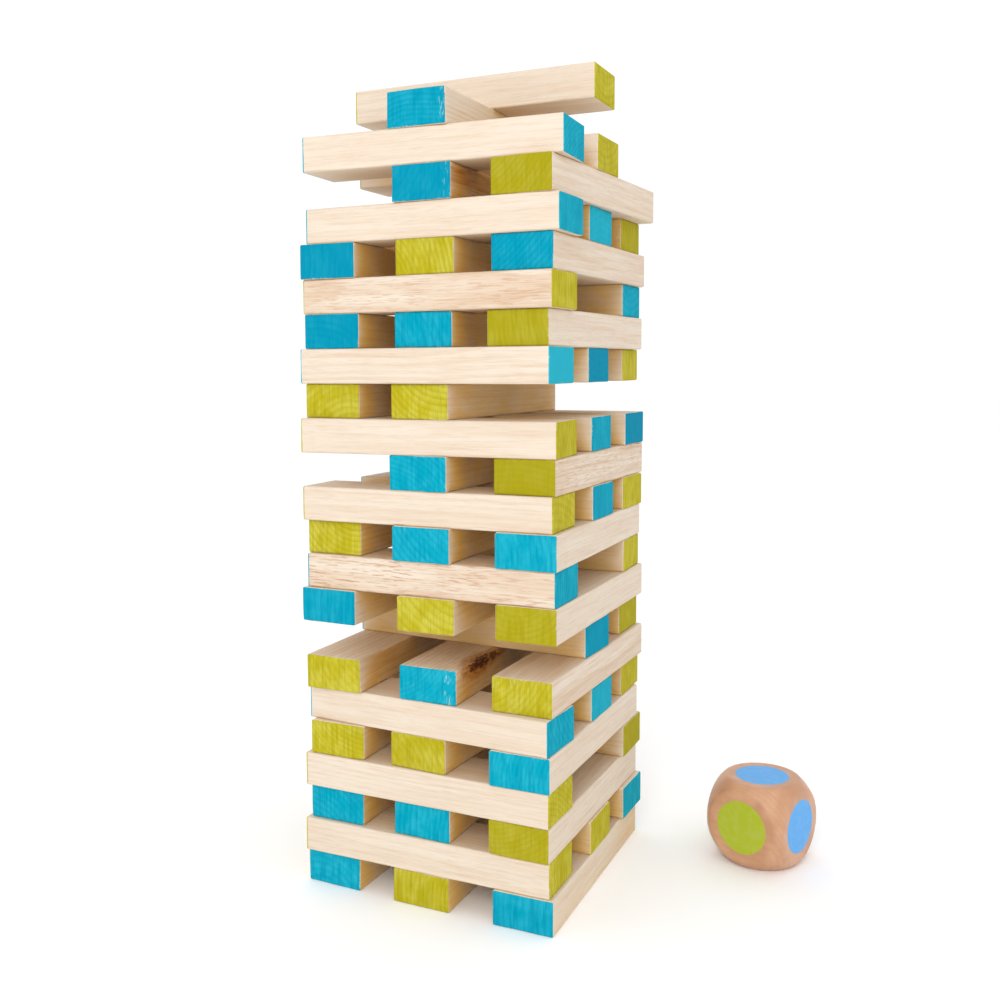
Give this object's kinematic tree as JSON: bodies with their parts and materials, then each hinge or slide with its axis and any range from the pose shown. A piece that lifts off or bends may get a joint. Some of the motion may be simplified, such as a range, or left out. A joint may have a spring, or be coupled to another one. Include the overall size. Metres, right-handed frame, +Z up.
{
  "type": "giant tumbling tower",
  "caption": "Tower of crossed wooden blocks with blue or green painted ends, part-way through a game, and a rounded colour die beside it.",
  "frame": {"origin": "on the ground, under the middle of the tower", "axes": "+Z up; blocks of the even levels lie along X, blocks of the odd levels lie along Y with their ends to the front (-Y)"},
  "size_m": [0.3443, 0.2333, 0.6005],
  "materials": {
    "block_wood": "bare sanded pale softwood, ends painted blue or green in a thin matt stain",
    "die_wood": "varnished hardwood with painted blue and green spots"
  },
  "bodies": {
    "bottom_course": {"bottom_course": "block_wood"},
    "level_02_front_block": {"level_02_front_block": "block_wood"},
    "level_02_middle_block": {"level_02_middle_block": "block_wood"},
    "level_02_back_block": {"level_02_back_block": "block_wood"},
    "level_03_left_block": {"level_03_left_block": "block_wood"},
    "level_03_middle_block": {"level_03_middle_block": "block_wood"},
    "level_03_right_block": {"level_03_right_block": "block_wood"},
    "level_04_front_block": {"level_04_front_block": "block_wood"},
    "level_04_back_block": {"level_04_back_block": "block_wood"},
    "level_05_left_block": {"level_05_left_block": "block_wood"},
    "level_05_middle_block": {"level_05_middle_block": "block_wood"},
    "level_05_right_block": {"level_05_right_block": "block_wood"},
    "level_06_front_block": {"level_06_front_block": "block_wood"},
    "level_06_middle_block": {"level_06_middle_block": "block_wood"},
    "level_06_back_block": {"level_06_back_block": "block_wood"},
    "level_07_left_block": {"level_07_left_block": "block_wood"},
    "level_07_middle_block": {"level_07_middle_block": "block_wood"},
    "level_07_right_block": {"level_07_right_block": "block_wood"},
    "level_08_middle_block": {"level_08_middle_block": "block_wood"},
    "level_08_back_block": {"level_08_back_block": "block_wood"},
    "level_09_left_block": {"level_09_left_block": "block_wood"},
    "level_09_middle_block": {"level_09_middle_block": "block_wood"},
    "level_09_right_block": {"level_09_right_block": "block_wood"},
    "level_10_front_block": {"level_10_front_block": "block_wood"},
    "level_10_back_block": {"level_10_back_block": "block_wood"},
    "level_11_left_block": {"level_11_left_block": "block_wood"},
    "level_11_middle_block": {"level_11_middle_block": "block_wood"},
    "level_11_right_block": {"level_11_right_block": "block_wood"},
    "level_12_front_block": {"level_12_front_block": "block_wood"},
    "level_12_middle_block": {"level_12_middle_block": "block_wood"},
    "level_12_back_block": {"level_12_back_block": "block_wood"},
    "level_13_middle_block": {"level_13_middle_block": "block_wood"},
    "level_13_right_block": {"level_13_right_block": "block_wood"},
    "level_14_front_block": {"level_14_front_block": "block_wood"},
    "level_14_middle_block": {"level_14_middle_block": "block_wood"},
    "level_14_back_block": {"level_14_back_block": "block_wood"},
    "level_15_left_block": {"level_15_left_block": "block_wood"},
    "level_15_middle_block": {"level_15_middle_block": "block_wood"},
    "level_16_front_block": {"level_16_front_block": "block_wood"},
    "level_16_middle_block": {"level_16_middle_block": "block_wood"},
    "level_16_back_block": {"level_16_back_block": "block_wood"},
    "level_17_left_block": {"level_17_left_block": "block_wood"},
    "level_17_middle_block": {"level_17_middle_block": "block_wood"},
    "level_17_right_block": {"level_17_right_block": "block_wood"},
    "level_18_front_block": {"level_18_front_block": "block_wood"},
    "level_18_back_block": {"level_18_back_block": "block_wood"},
    "level_19_left_block": {"level_19_left_block": "block_wood"},
    "level_19_middle_block": {"level_19_middle_block": "block_wood"},
    "level_19_right_block": {"level_19_right_block": "block_wood"},
    "level_20_front_block": {"level_20_front_block": "block_wood"},
    "level_20_middle_block": {"level_20_middle_block": "block_wood"},
    "level_20_back_block": {"level_20_back_block": "block_wood"},
    "level_21_middle_block": {"level_21_middle_block": "block_wood"},
    "level_21_right_block": {"level_21_right_block": "block_wood"},
    "level_22_front_block": {"level_22_front_block": "block_wood"},
    "level_22_middle_block": {"level_22_middle_block": "block_wood"},
    "level_23_middle_block": {"level_23_middle_block": "block_wood"},
    "level_24_middle_block": {"level_24_middle_block": "block_wood"},
    "colour_die": {"colour_die": "die_wood"}
  },
  "joints": [
    {"name": "level_02_front_slide", "type": "slide", "parent": "bottom_course", "child": "level_02_front_block", "axis": [0.9999, 0.0107, 0], "range_m": [-0.2, 0.2]},
    {"name": "level_02_middle_slide", "type": "slide", "parent": "bottom_course", "child": "level_02_middle_block", "axis": [0.9999, 0.015, 0], "range_m": [-0.2, 0.2]},
    {"name": "level_02_back_slide", "type": "slide", "parent": "bottom_course", "child": "level_02_back_block", "axis": [1, -0.0071, 0], "range_m": [-0.2, 0.05]},
    {"name": "level_03_left_slide", "type": "slide", "parent": "bottom_course", "child": "level_03_left_block", "axis": [0.0021, 1, 0], "range_m": [-0.2, 0.2]},
    {"name": "level_03_middle_slide", "type": "slide", "parent": "bottom_course", "child": "level_03_middle_block", "axis": [0.0175, 0.9998, 0], "range_m": [-0.2, 0.2]},
    {"name": "level_03_right_slide", "type": "slide", "parent": "bottom_course", "child": "level_03_right_block", "axis": [0.0021, 1, 0], "range_m": [-0.2, 0.2]},
    {"name": "level_04_front_slide", "type": "slide", "parent": "bottom_course", "child": "level_04_front_block", "axis": [1, -0.0071, 0], "range_m": [-0.2, 0.2]},
    {"name": "level_04_back_slide", "type": "slide", "parent": "bottom_course", "child": "level_04_back_block", "axis": [0.9999, 0.0107, 0], "range_m": [-0.2, 0.2]},
    {"name": "level_05_left_slide", "type": "slide", "parent": "bottom_course", "child": "level_05_left_block", "axis": [-0.0143, 0.9999, 0], "range_m": [-0.2, 0.2]},
    {"name": "level_05_middle_slide", "type": "slide", "parent": "bottom_course", "child": "level_05_middle_block", "axis": [0.0523, 0.9986, 0], "range_m": [-0.2, 0.2]},
    {"name": "level_05_right_slide", "type": "slide", "parent": "bottom_course", "child": "level_05_right_block", "axis": [0, 1, 0], "range_m": [-0.2, 0.2]},
    {"name": "level_06_front_slide", "type": "slide", "parent": "bottom_course", "child": "level_06_front_block", "axis": [0.9986, -0.0523, 0], "range_m": [-0.2, 0.2]},
    {"name": "level_06_middle_slide", "type": "slide", "parent": "bottom_course", "child": "level_06_middle_block", "axis": [1, 0, 0], "range_m": [-0.2, 0.2]},
    {"name": "level_06_back_slide", "type": "slide", "parent": "bottom_course", "child": "level_06_back_block", "axis": [0.9999, 0.0172, 0], "range_m": [-0.2, 0.2]},
    {"name": "level_07_left_slide", "type": "slide", "parent": "bottom_course", "child": "level_07_left_block", "axis": [-0.0156, 0.9999, 0], "range_m": [-0.2, 0.2]},
    {"name": "level_07_middle_slide", "type": "slide", "parent": "bottom_course", "child": "level_07_middle_block", "axis": [-0.0098, 1, 0], "range_m": [-0.2, 0.2]},
    {"name": "level_07_right_slide", "type": "slide", "parent": "bottom_course", "child": "level_07_right_block", "axis": [0.0132, 0.9999, 0], "range_m": [-0.2, 0.2]},
    {"name": "level_08_middle_slide", "type": "slide", "parent": "bottom_course", "child": "level_08_middle_block", "axis": [0.9986, -0.0523, 0], "range_m": [-0.2, 0.2]},
    {"name": "level_08_back_slide", "type": "slide", "parent": "bottom_course", "child": "level_08_back_block", "axis": [1, 0.0054, 0], "range_m": [-0.2, 0.2]},
    {"name": "level_09_left_slide", "type": "slide", "parent": "bottom_course", "child": "level_09_left_block", "axis": [-0.0003, 1, 0], "range_m": [-0.2, 0.2]},
    {"name": "level_09_middle_slide", "type": "slide", "parent": "bottom_course", "child": "level_09_middle_block", "axis": [-0.0174, 0.9998, 0], "range_m": [-0.2, 0.2]},
    {"name": "level_09_right_slide", "type": "slide", "parent": "bottom_course", "child": "level_09_right_block", "axis": [-0.0039, 1, 0], "range_m": [-0.2, 0.2]},
    {"name": "level_10_front_slide", "type": "slide", "parent": "bottom_course", "child": "level_10_front_block", "axis": [1, 0.0087, 0], "range_m": [-0.2, 0.2]},
    {"name": "level_10_back_slide", "type": "slide", "parent": "bottom_course", "child": "level_10_back_block", "axis": [0.9986, 0.0523, 0], "range_m": [-0.2, 0.2]},
    {"name": "level_11_left_slide", "type": "slide", "parent": "bottom_course", "child": "level_11_left_block", "axis": [0, 1, 0], "range_m": [-0.2, 0.2]},
    {"name": "level_11_middle_slide", "type": "slide", "parent": "bottom_course", "child": "level_11_middle_block", "axis": [-0.0065, 1, 0], "range_m": [-0.2, 0.2]},
    {"name": "level_11_right_slide", "type": "slide", "parent": "bottom_course", "child": "level_11_right_block", "axis": [-0.0169, 0.9999, 0], "range_m": [-0.2, 0.2]},
    {"name": "level_12_front_slide", "type": "slide", "parent": "bottom_course", "child": "level_12_front_block", "axis": [0.9998, 0.0174, 0], "range_m": [-0.2, 0.2]},
    {"name": "level_12_middle_slide", "type": "slide", "parent": "bottom_course", "child": "level_12_middle_block", "axis": [1, 0.0027, 0], "range_m": [-0.2, 0.2]},
    {"name": "level_12_back_slide", "type": "slide", "parent": "bottom_course", "child": "level_12_back_block", "axis": [0.9999, -0.0168, 0], "range_m": [-0.2, 0.2]},
    {"name": "level_13_middle_slide", "type": "slide", "parent": "bottom_course", "child": "level_13_middle_block", "axis": [0.0112, 0.9999, 0], "range_m": [-0.2, 0.2]},
    {"name": "level_13_right_slide", "type": "slide", "parent": "bottom_course", "child": "level_13_right_block", "axis": [0, 1, 0], "range_m": [-0.2, 0.2]},
    {"name": "level_14_front_slide", "type": "slide", "parent": "bottom_course", "child": "level_14_front_block", "axis": [0.9986, 0.0523, 0], "range_m": [-0.2, 0.2]},
    {"name": "level_14_middle_slide", "type": "slide", "parent": "bottom_course", "child": "level_14_middle_block", "axis": [0.9999, 0.0165, 0], "range_m": [-0.2, 0.2]},
    {"name": "level_14_back_slide", "type": "slide", "parent": "bottom_course", "child": "level_14_back_block", "axis": [1, -0.0036, 0], "range_m": [-0.2, 0.2]},
    {"name": "level_15_left_slide", "type": "slide", "parent": "bottom_course", "child": "level_15_left_block", "axis": [-0.0015, 1, 0], "range_m": [-0.2, 0.2]},
    {"name": "level_15_middle_slide", "type": "slide", "parent": "bottom_course", "child": "level_15_middle_block", "axis": [0.0171, 0.9999, 0], "range_m": [-0.2, 0.2]},
    {"name": "level_16_front_slide", "type": "slide", "parent": "bottom_course", "child": "level_16_front_block", "axis": [0.9999, -0.0103, 0], "range_m": [-0.2, 0.2]},
    {"name": "level_16_middle_slide", "type": "slide", "parent": "bottom_course", "child": "level_16_middle_block", "axis": [0.9999, 0.0128, 0], "range_m": [-0.2, 0.2]},
    {"name": "level_16_back_slide", "type": "slide", "parent": "bottom_course", "child": "level_16_back_block", "axis": [0.9986, 0.0523, 0], "range_m": [-0.2, 0.2]},
    {"name": "level_17_left_slide", "type": "slide", "parent": "bottom_course", "child": "level_17_left_block", "axis": [-0.0161, 0.9999, 0], "range_m": [-0.2, 0.2]},
    {"name": "level_17_middle_slide", "type": "slide", "parent": "bottom_course", "child": "level_17_middle_block", "axis": [0.0048, 1, 0], "range_m": [-0.2, 0.2]},
    {"name": "level_17_right_slide", "type": "slide", "parent": "bottom_course", "child": "level_17_right_block", "axis": [0.0172, 0.9999, 0], "range_m": [-0.2, 0.2]},
    {"name": "level_18_front_slide", "type": "slide", "parent": "bottom_course", "child": "level_18_front_block", "axis": [0.9999, -0.0173, 0], "range_m": [-0.2, 0.2]},
    {"name": "level_18_back_slide", "type": "slide", "parent": "bottom_course", "child": "level_18_back_block", "axis": [0.9999, 0.0162, 0], "range_m": [-0.2, 0.2]},
    {"name": "level_19_left_slide", "type": "slide", "parent": "bottom_course", "child": "level_19_left_block", "axis": [-0.0136, 0.9999, 0], "range_m": [-0.2, 0.2]},
    {"name": "level_19_middle_slide", "type": "slide", "parent": "bottom_course", "child": "level_19_middle_block", "axis": [-0.0126, 0.9999, 0], "range_m": [-0.2, 0.2]},
    {"name": "level_19_right_slide", "type": "slide", "parent": "bottom_course", "child": "level_19_right_block", "axis": [0.0105, 0.9999, 0], "range_m": [-0.2, 0.2]},
    {"name": "level_20_front_slide", "type": "slide", "parent": "bottom_course", "child": "level_20_front_block", "axis": [1, 0, 0], "range_m": [-0.2, 0.2]},
    {"name": "level_20_middle_slide", "type": "slide", "parent": "bottom_course", "child": "level_20_middle_block", "axis": [0.9999, -0.017, 0], "range_m": [-0.2, 0.2]},
    {"name": "level_20_back_slide", "type": "slide", "parent": "bottom_course", "child": "level_20_back_block", "axis": [1, 0.0018, 0], "range_m": [-0.2, 0.2]},
    {"name": "level_21_middle_slide", "type": "slide", "parent": "bottom_course", "child": "level_21_middle_block", "axis": [-0.0166, 0.9999, 0], "range_m": [-0.2, 0.2]},
    {"name": "level_21_right_slide", "type": "slide", "parent": "bottom_course", "child": "level_21_right_block", "axis": [0.0523, 0.9986, 0], "range_m": [-0.2, 0.2]},
    {"name": "level_22_front_slide", "type": "slide", "parent": "bottom_course", "child": "level_22_front_block", "axis": [0.9986, 0.0523, 0], "range_m": [-0.2, 0.2]},
    {"name": "level_22_middle_slide", "type": "slide", "parent": "bottom_course", "child": "level_22_middle_block", "axis": [1, 0, 0], "range_m": [-0.2, 0.2]},
    {"name": "level_23_middle_slide", "type": "slide", "parent": "bottom_course", "child": "level_23_middle_block", "axis": [-0.003, 1, 0], "range_m": [-0.2, 0.2]},
    {"name": "level_24_middle_slide", "type": "slide", "parent": "bottom_course", "child": "level_24_middle_block", "axis": [1, 0.0063, 0], "range_m": [-0.2, 0.2]},
    {"name": "colour_die_roll", "type": "slide", "parent": "bottom_course", "child": "colour_die", "axis": [1, 0, 0], "range_m": [0, 0.3]}
  ]
}
